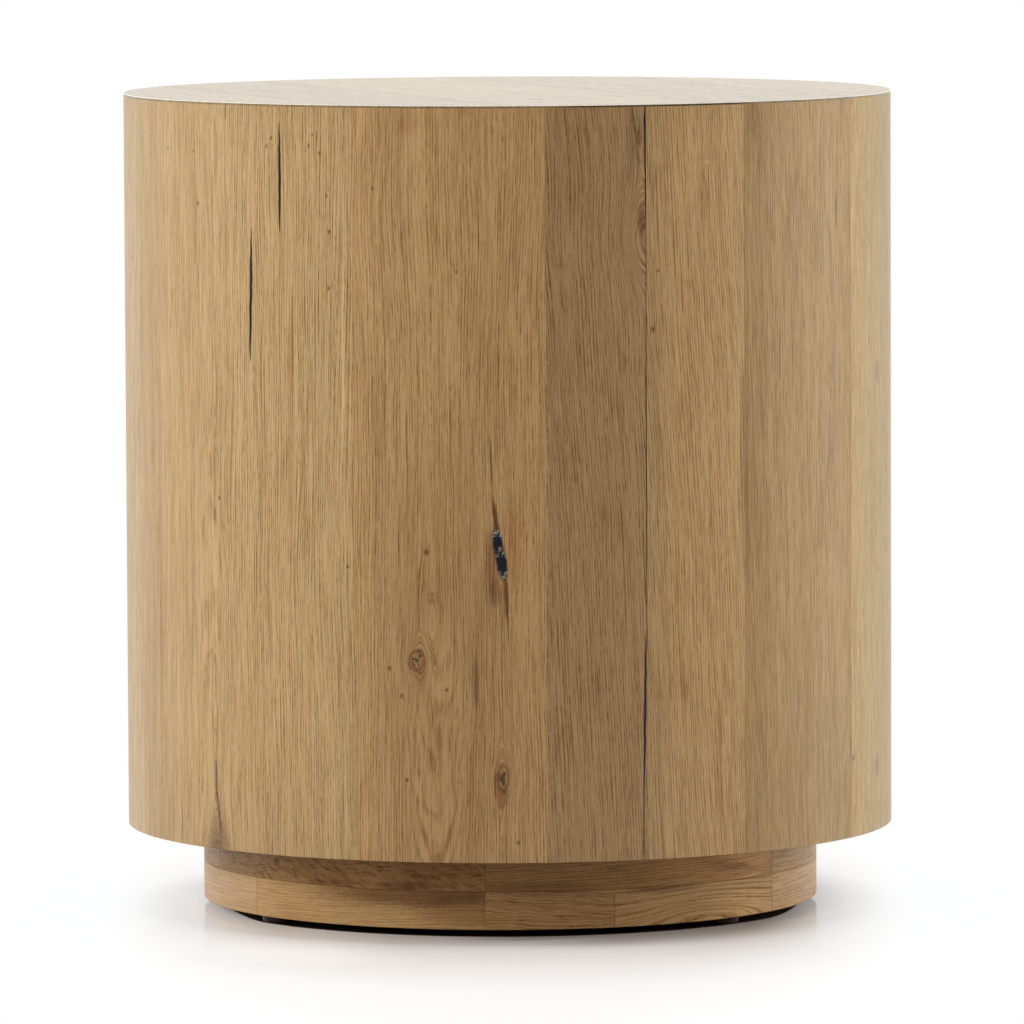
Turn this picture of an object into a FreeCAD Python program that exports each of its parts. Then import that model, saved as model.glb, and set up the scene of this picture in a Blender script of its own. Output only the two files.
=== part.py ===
"""Round drum side table: oak leaves on a framed plywood drum, over a recessed oak plinth on four glides.

Frame: +Z up, origin on the floor under the drum's centre, front towards -Y. Millimetres and degrees.
A bearing is an angle round the table, counted from the front centre towards the right.
"""
import FreeCAD, Part
import os
import re
import Sketcher

Vector = FreeCAD.Vector
doc = FreeCAD.newDocument("side_table")

SIZES = {
    # The drum and its oak facing
    "drum_radius": 287.5,
    "drum_height": 549,
    "side_leaf_thickness": 2,
    "top_leaf_thickness": 2,
    "top_grain_bearing": 21,
    # The plywood carcass under the facing, and the glue between it and the side leaves
    "glue_line": 0.15,
    "shell_thickness": 12,
    "top_board_thickness": 18,
    "upper_former_thickness": 18,
    "middle_former_thickness": 18,
    "middle_former_rise": 236,
    "bottom_panel_thickness": 18,
    # The stringers, and their notches in the upper and middle formers
    "stringer_width": 45,
    "stringer_depth": 28,
    "notch_clearance": 0.25,
    # The plinth's two courses of sawn segments, and how far they stand in from the drum's face
    "plinth_recess": 56.5,
    "plinth_width": 50,
    "plinth_course_height": 28,
    # The hexagon-headed coach screws that hold the plinth
    "screw_radius": 3,
    "screw_head_radius": 5.8,
    "screw_head_height": 4,
    "screw_clearance": 0.3,
    "screw_bite": 22,
    # The nail-on glides
    "glide_radius": 13,
    "glide_height": 5,
    "glide_setback": 1,
    "nail_radius": 1.25,
    "nail_bite": 18,
    "nail_cover": 1.8,
    # How far a cutting shape runs past what it cuts
    "cut_overrun": 5,
}

# Bearings of the joints between the side leaves, in order round the drum
SIDE_SEAM_BEARINGS = [-70.8, -23.0, 5.5, 20.4, 36.8, 61.5, 69.5, 96, 121, 138, 163, 190, 214, 232, 262]

# Joints between the top leaves, across the grain from the centre, as shares of the drum's radius
TOP_SEAM_SHARES = [-0.713, -0.348, 0.19, 0.647]

# Bearings of the joints in the plinth's two courses, of the glides, and of the joints between the half shells
UPPER_PLINTH_SEAM_BEARINGS = [-70, -4.6, 57.2, 115, 175, 232]
LOWER_PLINTH_SEAM_BEARINGS = [-54.4, -4.6, 19.3, 57.2, 108, 158, 210, 258]
GLIDE_BEARINGS = [-52, 46, 134, 232]
SHELL_SEAM_BEARINGS = [-90, 90]

FRONT = -90
FULL_TURN = 360
STRINGER_COUNT = 6
FIRST_STRINGER_BEARING = 30
SCREW_HEAD_SIDES = 6

# Levels and radii that follow from the sizes above
DERIVED = {
    "course_joint": "glide_height + plinth_course_height",
    "drum_base": "course_joint + plinth_course_height",
    "drum_top": "drum_base + drum_height",
    "board_top": "drum_top - top_leaf_thickness",
    "board_base": "board_top - top_board_thickness",
    "upper_former_base": "board_base - upper_former_thickness",
    "bottom_panel_top": "drum_base + bottom_panel_thickness",
    "middle_former_base": "bottom_panel_top + middle_former_rise",
    "leaf_back_radius": "drum_radius - side_leaf_thickness",
    "carcass_radius": "leaf_back_radius - glue_line",
    "frame_radius": "carcass_radius - shell_thickness",
    "stringer_face_radius": "frame_radius - stringer_depth",
    "plinth_radius": "drum_radius - plinth_recess",
    "plinth_bore": "plinth_radius - plinth_width",
    "plinth_screw_radius": "plinth_radius - plinth_width / 2",
    "glide_pitch_radius": "plinth_radius - glide_setback - glide_radius",
    "screw_shank_length": "bottom_panel_thickness + screw_bite",
}

# The sheet that holds every size, one alias for each cell
sheet = doc.addObject("Spreadsheet::Sheet", "sizes")
rows_used = 0


def add_cell(alias, content):
    global rows_used
    rows_used += 1
    sheet.set(f"A{rows_used}", alias)
    sheet.set(f"B{rows_used}", str(content))
    sheet.setAlias(f"B{rows_used}", alias)


def add_cells(name, values):
    """Put a list of places on the sheet and give back the aliases of its cells."""
    aliases = [f"{name}_{number}" for number in range(1, len(values) + 1)]
    for alias, number in zip(aliases, values):
        add_cell(alias, number)
    return aliases


for size_name, size in SIZES.items():
    add_cell(size_name, size)
side_seams = add_cells("side_seam", SIDE_SEAM_BEARINGS)
top_seam_shares = add_cells("top_seam_share", TOP_SEAM_SHARES)
upper_plinth_seams = add_cells("upper_plinth_seam", UPPER_PLINTH_SEAM_BEARINGS)
lower_plinth_seams = add_cells("lower_plinth_seam", LOWER_PLINTH_SEAM_BEARINGS)
glide_bearings = add_cells("glide_bearing", GLIDE_BEARINGS)
shell_seams = add_cells("shell_seam", SHELL_SEAM_BEARINGS)
for derived_name, rule_text in DERIVED.items():
    add_cell(derived_name, "=" + rule_text)
doc.recompute()


def on_sheet(rule):
    """Turn a rule in plain size names into an expression that reads the sheet's cells."""
    return re.sub(r"[a-z]+(?:_[a-z0-9]+)+", r"sizes.\g<0>", rule)


def bind(item, prop, rule):
    item.setExpression(prop, on_sheet(rule))


def value_of(rule):
    return float(sheet.evalExpression(on_sheet(rule)))


def turned(bearing):
    """The rule for the angle from +X of a bearing counted from the front."""
    return f"({bearing} + {FRONT}) * 1deg"


def place(item, bearing="0", radius="0", height="0"):
    """Put an item out at a radius and bearing, and turn it to face outwards."""
    angle = turned(bearing)
    bind(item, "Placement.Rotation.Angle", angle)
    bind(item, "Placement.Base.x", f"{radius} * cos({angle})")
    bind(item, "Placement.Base.y", f"{radius} * sin({angle})")
    bind(item, "Placement.Base.z", height)


def add_body(label):
    body = doc.addObject("PartDesign::Body", label)
    body.Label = label
    return body


def add_sketch(body, name, role):
    plane = next(feature for feature in body.Origin.OriginFeatures if feature.Role == role)
    sketch = body.newObject("Sketcher::SketchObject", name)
    sketch.AttachmentSupport = [(plane, "")]
    sketch.MapMode = "FlatFace"
    return sketch


def constrain(sketch, rule, kind, *references):
    """Add a constraint whose size follows a rule."""
    index = sketch.addConstraint(Sketcher.Constraint(kind, *references, value_of(rule)))
    bind(sketch, f"Constraints[{index}]", rule)


def draw_outline(sketch, points):
    """Draw a closed outline through points given as pairs of rules; "0" puts a point on that axis."""
    corners = [Vector(value_of(across), value_of(along), 0) for across, along in points]
    for number, corner in enumerate(corners):
        sketch.addGeometry(Part.LineSegment(corners[number - 1], corner), False)
    for number, (across, along) in enumerate(points):
        following = (number + 1) % len(points)
        sketch.addConstraint(Sketcher.Constraint("Coincident", number, 2, following, 1))
        for rule, kind, axis in ((across, "DistanceX", -2), (along, "DistanceY", -1)):
            if rule == "0":
                sketch.addConstraint(Sketcher.Constraint("PointOnObject", number, 2, axis))
            else:
                constrain(sketch, rule, kind, -1, 1, number, 2)


def add_revolved(label, points, sweep=None):
    """A body turned from a half section about the upright axis, right round or through a sweep."""
    body = add_body(label)
    sketch = add_sketch(body, label + "_section", "XZ_Plane")
    draw_outline(sketch, points)
    revolution = body.newObject("PartDesign::Revolution", label + "_turned")
    revolution.Profile = sketch
    revolution.ReferenceAxis = (sketch, ["V_Axis"])
    revolution.Angle = FULL_TURN
    if sweep:
        bind(revolution, "Angle", sweep)
    return body


def seam_pairs(seams):
    """Each joint of a ring with the next one round; the last meets the first again, a full turn on."""
    following = seams[1:] + [f"({seams[0]} + {FULL_TURN})"]
    return zip(seams, following)


def add_ring_pieces(labels, seams, inner, outer, base, top):
    """Cut a ring into pieces at its seams, each a body turned from one seam to the next."""
    section = [(inner, base), (outer, base), (outer, top), (inner, top)]
    pieces = []
    for label, (start, end) in zip(labels, seam_pairs(seams)):
        piece = add_revolved(label, section, f"{end} - {start}")
        place(piece, bearing=start)
        pieces.append(piece)
    return pieces


def add_disc(label, radius, base, thickness):
    """A round board, padded from a circle."""
    body = add_body(label)
    sketch = add_sketch(body, label + "_circle", "XY_Plane")
    sketch.addGeometry(Part.Circle(Vector(), Vector(0, 0, 1), value_of(radius)), False)
    sketch.addConstraint(Sketcher.Constraint("Coincident", 0, 3, -1, 1))
    constrain(sketch, radius, "Radius", 0)
    pad = body.newObject("PartDesign::Pad", label + "_board")
    pad.Profile = sketch
    bind(pad, "Length", thickness)
    place(body, height=base)
    return body


def repeat(label, body, places):
    """A group of separate copies of one body, each at its own place."""
    copies = []
    for number, where in enumerate(places, start=1):
        copy = doc.addObject("App::Link", f"{label}_copy_{number}")
        copy.LinkedObject = body
        copy.LinkTransform = False
        place(copy, **where)
        copies.append(copy)
    group = doc.addObject("Part::Compound", label)
    group.Label = label
    group.Links = copies
    return group


def add_rod(label, radius, length):
    """A plain round rod, upright on the origin."""
    rod = doc.addObject("Part::Cylinder", label)
    bind(rod, "Radius", radius)
    bind(rod, "Height", length)
    return rod


def cut_out(label, blank, tool):
    """A piece that is left when a tool has been cut out of its blank."""
    cut = doc.addObject("Part::Cut", label)
    cut.Label = label
    cut.Base = blank
    cut.Tool = tool
    return cut


# Side leaves: sawn oak, glued upright on the shell and the top board's edge
side_labels = [f"side_leaf_{number}" for number in range(1, len(side_seams) + 1)]
side_leaves = add_ring_pieces(side_labels, side_seams, "leaf_back_radius", "drum_radius",
                              "drum_base", "board_top")

# Top leaves: sawn oak laid side by side, then trimmed round to the drum's face
rim_disc = doc.addObject("Part::Cylinder", "top_trim")
bind(rim_disc, "Radius", "drum_radius")
bind(rim_disc, "Height", "top_leaf_thickness")
top_seams = [f"{share} * drum_radius" for share in top_seam_shares]
edges = ["-(drum_radius + cut_overrun)"] + top_seams + ["drum_radius + cut_overrun"]
top_leaves = []
for number, (edge, next_edge) in enumerate(zip(edges, edges[1:]), start=1):
    plank = doc.addObject("Part::Box", f"top_plank_{number}")
    bind(plank, "Length", f"{next_edge} - ({edge})")
    bind(plank, "Width", "2 * (drum_radius + cut_overrun)")
    bind(plank, "Height", "top_leaf_thickness")
    bind(plank, "Placement.Base.x", edge)
    bind(plank, "Placement.Base.y", "-(drum_radius + cut_overrun)")
    leaf = doc.addObject("Part::Common", f"top_leaf_{number}")
    leaf.Base = plank
    leaf.Tool = rim_disc
    bind(leaf, "Placement.Rotation.Angle", "top_grain_bearing * 1deg")
    bind(leaf, "Placement.Base.z", "board_top")
    top_leaves.append(leaf)

# Half shells: bent plywood, from the drum's lower edge to the top board
front_shell, back_shell = add_ring_pieces(["front_shell", "back_shell"], shell_seams, "frame_radius",
                                          "carcass_radius", "drum_base", "board_base")

# Stringers: battens from the bottom panel to the top board, planed to the shell on their outer face
stringer_bearings = [FIRST_STRINGER_BEARING + number * FULL_TURN / STRINGER_COUNT
                     for number in range(STRINGER_COUNT)]


def draw_batten(sketch, face_radius, outer_radius, width):
    """Draw a batten's section: flat inside, straight sides, and a round outer face."""
    face = value_of(face_radius)
    outer = value_of(outer_radius)
    half = value_of(width) / 2
    edge = (outer ** 2 - half ** 2) ** 0.5
    inner_upper, inner_lower = Vector(face, half, 0), Vector(face, -half, 0)
    outer_lower, outer_upper = Vector(edge, -half, 0), Vector(edge, half, 0)
    sketch.addGeometry([
        Part.LineSegment(inner_upper, inner_lower),
        Part.LineSegment(inner_lower, outer_lower),
        Part.Arc(outer_lower, Vector(outer, 0, 0), outer_upper),
        Part.LineSegment(outer_upper, inner_upper),
    ], False)
    inner_side, lower_side, round_side, upper_side = range(4)
    sketch.addConstraint([
        Sketcher.Constraint("Coincident", inner_side, 2, lower_side, 1),
        Sketcher.Constraint("Coincident", lower_side, 2, round_side, 1),
        Sketcher.Constraint("Coincident", round_side, 2, upper_side, 1),
        Sketcher.Constraint("Coincident", upper_side, 2, inner_side, 1),
        Sketcher.Constraint("Coincident", round_side, 3, -1, 1),
        Sketcher.Constraint("Horizontal", lower_side),
        Sketcher.Constraint("Horizontal", upper_side),
        Sketcher.Constraint("Symmetric", inner_side, 1, inner_side, 2, -1),
    ])
    constrain(sketch, face_radius, "DistanceX", -1, 1, inner_side, 1)
    constrain(sketch, width, "DistanceY", inner_side, 2, inner_side, 1)
    constrain(sketch, outer_radius, "Radius", round_side)


stringers = []
for number, bearing in enumerate(stringer_bearings, start=1):
    stringer = add_body(f"stringer_{number}")
    section = add_sketch(stringer, f"stringer_{number}_section", "XY_Plane")
    draw_batten(section, "stringer_face_radius", "frame_radius", "stringer_width")
    batten = stringer.newObject("PartDesign::Pad", f"stringer_{number}_batten")
    batten.Profile = section
    bind(batten, "Length", "board_base - bottom_panel_top")
    place(stringer, bearing=str(bearing), height="bottom_panel_top")
    stringers.append(stringer)


def add_former(label, base, thickness):
    """A round bulkhead with a notch at its edge for each stringer."""
    former = add_disc(label, "frame_radius", base, thickness)
    section = add_sketch(former, label + "_notch_section", "XY_Plane")
    draw_batten(section, "stringer_face_radius - notch_clearance", "frame_radius + cut_overrun",
                "stringer_width + 2 * notch_clearance")
    notch = former.newObject("PartDesign::Pocket", label + "_notch")
    notch.Profile = section
    notch.Type = "ThroughAll"
    notch.Reversed = True
    notches = former.newObject("PartDesign::PolarPattern", label + "_notches")
    notches.Originals = [notch]
    notches.Axis = (section, ["N_Axis"])
    notches.Angle = FULL_TURN
    notches.Occurrences = STRINGER_COUNT
    former.Tip = notches
    place(former, bearing=str(FIRST_STRINGER_BEARING), height=base)
    return former


middle_former = add_former("middle_former", "middle_former_base", "middle_former_thickness")
upper_former = add_former("upper_former", "upper_former_base", "upper_former_thickness")

# Round boards: the top board, which lies on the shell, and the bottom panel, let in flush with its lower edge
top_board = add_disc("top_board", "carcass_radius", "board_base", "top_board_thickness")
bottom_blank = add_disc("bottom_panel_blank", "frame_radius", "drum_base", "bottom_panel_thickness")

# Plinth: two courses of sawn segments under the bottom panel
upper_labels = [f"upper_plinth_segment_{number}" for number in range(1, len(upper_plinth_seams) + 1)]
lower_labels = [f"lower_plinth_segment_{number}" for number in range(1, len(lower_plinth_seams) + 1)]
upper_blanks = add_ring_pieces([label + "_blank" for label in upper_labels], upper_plinth_seams,
                               "plinth_bore", "plinth_radius", "course_joint", "drum_base")
lower_blanks = add_ring_pieces([label + "_blank" for label in lower_labels], lower_plinth_seams,
                               "plinth_bore", "plinth_radius", "glide_height", "course_joint")

# Plinth screws: one down through the bottom panel into the middle of each upper segment
shank = add_rod("plinth_screw_shank", "screw_radius", "screw_shank_length")
head = doc.addObject("Part::Prism", "plinth_screw_head")
head.Polygon = SCREW_HEAD_SIDES
bind(head, "Circumradius", "screw_head_radius")
bind(head, "Height", "screw_head_height")
bind(head, "Placement.Base.z", "screw_shank_length")
screw = doc.addObject("Part::Fuse", "plinth_screw_pattern")
screw.Base = shank
screw.Tool = head
screw_places = []
for seam, next_seam in seam_pairs(upper_plinth_seams):
    screw_places.append(dict(bearing=f"({seam} + {next_seam}) / 2", radius="plinth_screw_radius",
                             height="bottom_panel_top - screw_shank_length"))
plinth_screws = repeat("plinth_screws", screw, screw_places)

# Glides: a plastic pad moulded on a steel nail, which is driven up into the lower course
nail = add_rod("glide_nail_pattern", "nail_radius", "nail_bite + glide_height - nail_cover")
bind(nail, "Placement.Base.z", "nail_cover")
nail_pattern = doc.addObject("Part::Compound", "glide_nail_in_place")
nail_pattern.Links = [nail]
pad = cut_out("glide_pad_pattern", add_rod("glide_pad_blank", "glide_radius", "glide_height"), nail)
glide_places = [dict(bearing=bearing, radius="glide_pitch_radius") for bearing in glide_bearings]
glide_pads = repeat("glide_pads", pad, glide_places)
glide_nails = repeat("glide_nails", nail_pattern, glide_places)

# Drilled pieces: clear holes for the screws in the bottom panel, and pilot holes in the plinth
clear_places = [dict(where, height="drum_base") for where in screw_places]
clear_rod = add_rod("clear_drill_pattern", "screw_radius + screw_clearance", "bottom_panel_thickness")
clear_drill = repeat("clear_drill", clear_rod, clear_places)
bottom_panel = cut_out("bottom_panel", bottom_blank, clear_drill)
upper_segments = [cut_out(label, blank, plinth_screws) for label, blank in zip(upper_labels, upper_blanks)]
lower_segments = [cut_out(label, blank, glide_nails) for label, blank in zip(lower_labels, lower_blanks)]

doc.recompute()

# Every object has to be up to date, and every piece sound, before anything is written
for item in doc.Objects:
    if "Invalid" in item.State or "Error" in item.State:
        raise RuntimeError(f"{item.Label} failed: {item.State}")
pieces = (side_leaves + top_leaves + stringers + upper_segments + lower_segments
          + [top_board, upper_former, middle_former, bottom_panel, front_shell, back_shell]
          + [plinth_screws, glide_pads, glide_nails])
for piece in pieces:
    if piece.Shape.isNull() or not piece.Shape.isValid() or not piece.Shape.Solids:
        raise RuntimeError(f"{piece.Label} has no sound solid")

os.makedirs("parts", exist_ok=True)
for piece in pieces:
    piece.Shape.exportStep(f"parts/{piece.Label}.step")
print(f"{len(pieces)} pieces written")
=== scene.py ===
import math

import bpy
from mathutils import Matrix, Vector


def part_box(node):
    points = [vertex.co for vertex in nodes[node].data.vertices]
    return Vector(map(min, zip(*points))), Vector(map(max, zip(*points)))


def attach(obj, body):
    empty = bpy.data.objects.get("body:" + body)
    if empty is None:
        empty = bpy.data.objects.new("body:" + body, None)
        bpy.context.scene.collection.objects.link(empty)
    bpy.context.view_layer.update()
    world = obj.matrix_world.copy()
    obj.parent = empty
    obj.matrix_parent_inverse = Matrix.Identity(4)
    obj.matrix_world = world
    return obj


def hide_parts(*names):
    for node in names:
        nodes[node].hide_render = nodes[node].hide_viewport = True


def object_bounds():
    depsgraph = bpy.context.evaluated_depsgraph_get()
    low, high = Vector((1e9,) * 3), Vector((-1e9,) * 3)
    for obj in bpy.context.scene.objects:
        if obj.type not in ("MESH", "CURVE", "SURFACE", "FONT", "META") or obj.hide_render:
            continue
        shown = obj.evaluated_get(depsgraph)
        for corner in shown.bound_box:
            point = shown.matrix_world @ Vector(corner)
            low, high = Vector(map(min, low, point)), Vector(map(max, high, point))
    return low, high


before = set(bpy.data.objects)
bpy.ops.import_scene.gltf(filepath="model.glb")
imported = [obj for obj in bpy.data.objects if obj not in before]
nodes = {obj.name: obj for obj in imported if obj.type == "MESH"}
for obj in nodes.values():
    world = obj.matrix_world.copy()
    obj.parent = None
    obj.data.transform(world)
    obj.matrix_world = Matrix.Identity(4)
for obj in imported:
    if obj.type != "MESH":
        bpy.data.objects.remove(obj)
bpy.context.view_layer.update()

# Carcass: birch plywood, bent for the two half shells and sawn round for the
# boards and bulkheads. The faces show a veneer's grain and the edges show
# the plies. All of it is glued, and only the underside is open to view.
MM = 0.001
PLY_THICKNESS = 1.5
VENEER_DARK = (0.50, 0.35, 0.20)
VENEER_PALE = (0.70, 0.55, 0.36)
PLY_DARK = (0.36, 0.24, 0.13)
PLY_PALE = (0.66, 0.51, 0.33)
PLY_SPECKLE = (0.30, 0.20, 0.11)
SAWN_RELIEF = 0.05 * MM


def feed(slot, value):
    """Give an input a value, or link it to the socket that a number or colour comes from."""
    if isinstance(value, Amount):
        value = value.socket
    if isinstance(value, bpy.types.NodeSocket):
        slot.id_data.links.new(value, slot)
    else:
        slot.default_value = value


def add_node(tree, kind, *values, **settings):
    """Add a node with its settings, and feed its inputs in order. None leaves an input as it is."""
    made = tree.nodes.new(kind)
    for name, setting in settings.items():
        setattr(made, name, setting)
    for slot, value in zip(made.inputs, values):
        if value is not None:
            feed(slot, value)
    return made


class Amount:
    """A number that the nodes of a tree work out, so that a rule is written as a plain formula."""

    def __init__(self, socket):
        self.socket = socket

    def maths(self, operation, *others):
        tree = self.socket.id_data
        return Amount(add_node(tree, "ShaderNodeMath", self, *others, operation=operation).outputs[0])

    def __add__(self, other):
        return self.maths("ADD", other)

    def __sub__(self, other):
        return self.maths("SUBTRACT", other)

    def __mul__(self, other):
        return self.maths("MULTIPLY", other)

    def __truediv__(self, other):
        return self.maths("DIVIDE", other)

    def __pow__(self, other):
        return self.maths("POWER", other)

    def __neg__(self):
        return self.maths("MULTIPLY", -1)

    def __abs__(self):
        return self.maths("ABSOLUTE")

    __radd__ = __add__
    __rmul__ = __mul__

    def rise(self, low, high):
        """0 below low and 1 above high, with a smooth rise between; it falls if low is above high."""
        tree = self.socket.id_data
        return Amount(add_node(tree, "ShaderNodeMapRange", self, low, high, 0, 1,
                               interpolation_type="SMOOTHSTEP").outputs[0])


def noise(tree, across, along, seed, detail=2.0):
    """A smooth random amount about 0.5 that changes over one unit across and along, so each place is
    divided by the millimetres over which it changes."""
    place = add_node(tree, "ShaderNodeCombineXYZ", across, along, seed)
    made = add_node(tree, "ShaderNodeTexNoise", place.outputs[0])
    made.inputs["Scale"].default_value = 1
    made.inputs["Detail"].default_value = detail
    return Amount(made.outputs[0])


def blend(tree, share, first, second, how="MIX"):
    """The first colour where the share is 0 and the second, mixed in a given way, where it is 1."""
    made = add_node(tree, "ShaderNodeMix", data_type="RGBA", blend_type=how)
    for slot, value in ((0, share), (6, first), (7, second)):
        feed(made.inputs[slot], (*value, 1) if isinstance(value, tuple) else value)
    return made.outputs[2]


def object_place(tree):
    """The three object coordinates, in millimetres."""
    place = add_node(tree, "ShaderNodeTexCoord").outputs["Object"]
    parts = add_node(tree, "ShaderNodeSeparateXYZ", place).outputs
    return [Amount(part) / MM for part in parts]


def new_finish(name, **constants):
    """A material with its surface shader, and the constants set on the shader's own sockets."""
    material = bpy.data.materials.new(name)
    material.use_nodes = True
    shader = material.node_tree.nodes["Principled BSDF"]
    for socket, value in constants.items():
        shader.inputs[socket.replace("_", " ")].default_value = value
    return material, material.node_tree, shader


def add_relief(tree, shader, height, depth):
    """Bump from a height between 0 and 1 that stands for a real depth in metres."""
    bump = add_node(tree, "ShaderNodeBump")
    bump.inputs["Strength"].default_value = 1
    bump.inputs["Distance"].default_value = depth
    feed(bump.inputs["Height"], height)
    feed(shader.inputs["Normal"], bump.outputs[0])


def plywood(name, bent):
    """Plywood whose plies are stacked upwards in a board, or outwards in a bent shell."""
    material, tree, shader = new_finish(name)
    x, y, z = object_place(tree)
    radius = (x * x + y * y) ** 0.5
    normal = add_node(tree, "ShaderNodeTexCoord").outputs["Normal"]
    upright = abs(Amount(add_node(tree, "ShaderNodeSeparateXYZ", normal).outputs[2]))
    edge = upright.rise(0.4, 0.6) if bent else upright.rise(0.6, 0.4)
    layer = (radius if bent else z) / PLY_THICKNESS
    ply = (layer + noise(tree, x / 40, y / 40, 2.0) * 0.15).maths("FRACT").rise(0.45, 0.55)
    along, across = (z, x + y) if bent else (x, y)
    grain = noise(tree, across / 1.2, along / 45, 1.0, detail=4.0)
    figure = noise(tree, across / 16, along / 300, 5.0, detail=3.0)
    face = blend(tree, (grain * 0.5 + figure * 0.6).rise(0.3, 0.75), VENEER_DARK, VENEER_PALE)
    plies = blend(tree, ply, PLY_DARK, PLY_PALE)
    speckle = noise(tree, (x + y) / 0.6, (x - y) / 0.6, 3.0)
    plies = blend(tree, speckle.rise(0.35, 0.7) * 0.35, plies, PLY_SPECKLE)
    feed(shader.inputs["Base Color"], blend(tree, edge, face, plies))
    feed(shader.inputs["Roughness"], grain * 0.2 + 0.5)
    add_relief(tree, shader, grain, SAWN_RELIEF)
    return material


def finish_node(name, material):
    """Put a material on a solid that keeps its own shape."""
    for slot in nodes[name].material_slots:
        slot.material = material


board_plywood = plywood("plywood_board", bent=False)
shell_plywood = plywood("plywood_shell", bent=True)
for name in ("top_board", "upper_former", "middle_former", "bottom_panel"):
    finish_node(name, board_plywood)
for name in ("front_shell", "back_shell"):
    finish_node(name, shell_plywood)

# Stringers: six planed softwood battens, upright inside the
# shell and let into the notches of both bulkheads.
STRINGER_COUNT = 6
RING_WIDTH = 3.2
SPRUCE_PALE = (0.74, 0.57, 0.36)
SPRUCE_LATE = (0.50, 0.30, 0.14)
PLANED_RELIEF = 0.03 * MM


def softwood():
    """Planed spruce: pale, with narrow reddish late wood."""
    material, tree, shader = new_finish("spruce")
    x, y, z = object_place(tree)
    sway = noise(tree, x / 60, z / 300, 1.0) * 6
    rings = ((x * 0.8 + y * 0.6 + sway) / RING_WIDTH).maths("FRACT")
    late = rings.rise(0.55, 0.95) * rings.rise(1.0, 0.97)
    grain = noise(tree, (x + y) / 0.7, z / 30, 4.0)
    colour = blend(tree, late * 0.7 + grain * 0.2, SPRUCE_PALE, SPRUCE_LATE)
    feed(shader.inputs["Base Color"], colour)
    feed(shader.inputs["Roughness"], late * -0.1 + 0.6)
    add_relief(tree, shader, grain, PLANED_RELIEF)
    return material


spruce = softwood()
for number in range(1, STRINGER_COUNT + 1):
    finish_node(f"stringer_{number}", spruce)

# Screws and glide nails: zinc-plated steel. The coach screws come down through the bottom panel into the
# plinth, and each nail is moulded into its pad and driven up into the lower course.
ZINC_DULL = (0.55, 0.56, 0.55)
ZINC_BRIGHT = (0.74, 0.75, 0.74)


def zinc():
    """Zinc plate: bright, with a faint cloudy spangle."""
    material, tree, shader = new_finish("zinc_plate", Metallic=1.0)
    x, y, z = object_place(tree)
    cloud = noise(tree, x / 2, (y + z) / 2, 1.0, detail=3.0)
    feed(shader.inputs["Base Color"], blend(tree, cloud, ZINC_DULL, ZINC_BRIGHT))
    feed(shader.inputs["Roughness"], cloud * 0.2 + 0.25)
    return material


zinc_plate = zinc()
for name in ("plinth_screws", "glide_nails"):
    finish_node(name, zinc_plate)

# Side leaves: fifteen leaves of sawn rustic oak, 2 mm thick, glued upright
# round the drum and sanded flush. Black resin fills their cracks and open
# knots, pale putty some joints, and a clear satin lacquer covers all.
DRUM_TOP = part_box("top_leaf_3")[1].z
SIDE_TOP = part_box("side_leaf_1")[1].z
SIDE_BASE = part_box("side_leaf_1")[0].z
DRUM_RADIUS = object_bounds()[1].x
LEAF_THICKNESS = DRUM_TOP - SIDE_TOP
SIDE_SEAMS = [-70.8, -23.0, 5.5, 20.4, 36.8, 61.5, 69.5, 96, 121, 138, 163, 190, 214, 232, 262, 289.2]
LEAF_ARRIS = 0.2 * MM
LEAF_STEP = 3 * MM
LEAF_ROWS = 60
LEAF_LAYERS = 3
FACE_SHARE = 0.75
SHARP_EDGE = 25


def start_tree(title, lengths, counts=()):
    """A tree with named inputs for its lengths, counts and finish, and the amounts that these give."""
    tree = bpy.data.node_groups.new(title, "GeometryNodeTree")
    kinds = [(name, "NodeSocketFloat") for name in lengths]
    kinds += [(name, "NodeSocketInt") for name in counts]
    kinds.append(("Finish", "NodeSocketMaterial"))
    for name, kind in kinds:
        tree.interface.new_socket(name, in_out="INPUT", socket_type=kind)
    tree.interface.new_socket("Geometry", in_out="OUTPUT", socket_type="NodeSocketGeometry")
    given = tree.nodes.new("NodeGroupInput").outputs
    return tree, {socket.name: Amount(socket) for socket in given if socket.name}


def corner_shares(tree):
    """How far along each axis a corner of a unit block lies, from 0 to 1."""
    corner = add_node(tree, "GeometryNodeInputPosition").outputs[0]
    return [Amount(part) + 0.5 for part in add_node(tree, "ShaderNodeSeparateXYZ", corner).outputs]


def bent_board_tree():
    """The rule for a board bent round the upright axis, with a small arris round its outer face."""
    lengths = ("From bearing", "To bearing", "Inner radius", "Outer radius", "Base", "Top", "Arris")
    tree, size = start_tree("Bent board", lengths, ("Columns", "Rows"))
    block = add_node(tree, "GeometryNodeMeshCube", (1, 1, 1), size["Columns"], LEAF_LAYERS, size["Rows"])
    share_round, share_out, share_up = corner_shares(tree)
    inset = size["Arris"] * share_out.maths("GREATER_THAN", FACE_SHARE)
    sweep = size["To bearing"] - size["From bearing"]
    height = size["Top"] - size["Base"]
    side_inset = inset / (size["Outer radius"] * sweep)
    end_inset = inset / height
    bearing = size["To bearing"] - sweep * (side_inset + share_round * (side_inset * -2 + 1))
    depth = size["Outer radius"] - size["Arris"] - size["Inner radius"]
    radius = size["Inner radius"] + depth * (share_out * 2).maths("MINIMUM", 1) + inset
    level = size["Base"] + height * (end_inset + share_up * (end_inset * -2 + 1))
    place = add_node(tree, "ShaderNodeCombineXYZ", radius * bearing.maths("SINE"),
                     -(radius * bearing.maths("COSINE")), level)
    bent = add_node(tree, "GeometryNodeSetPosition", block.outputs["Mesh"], None, place.outputs[0])
    return close_tree(tree, bent.outputs[0], size["Finish"])


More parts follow.
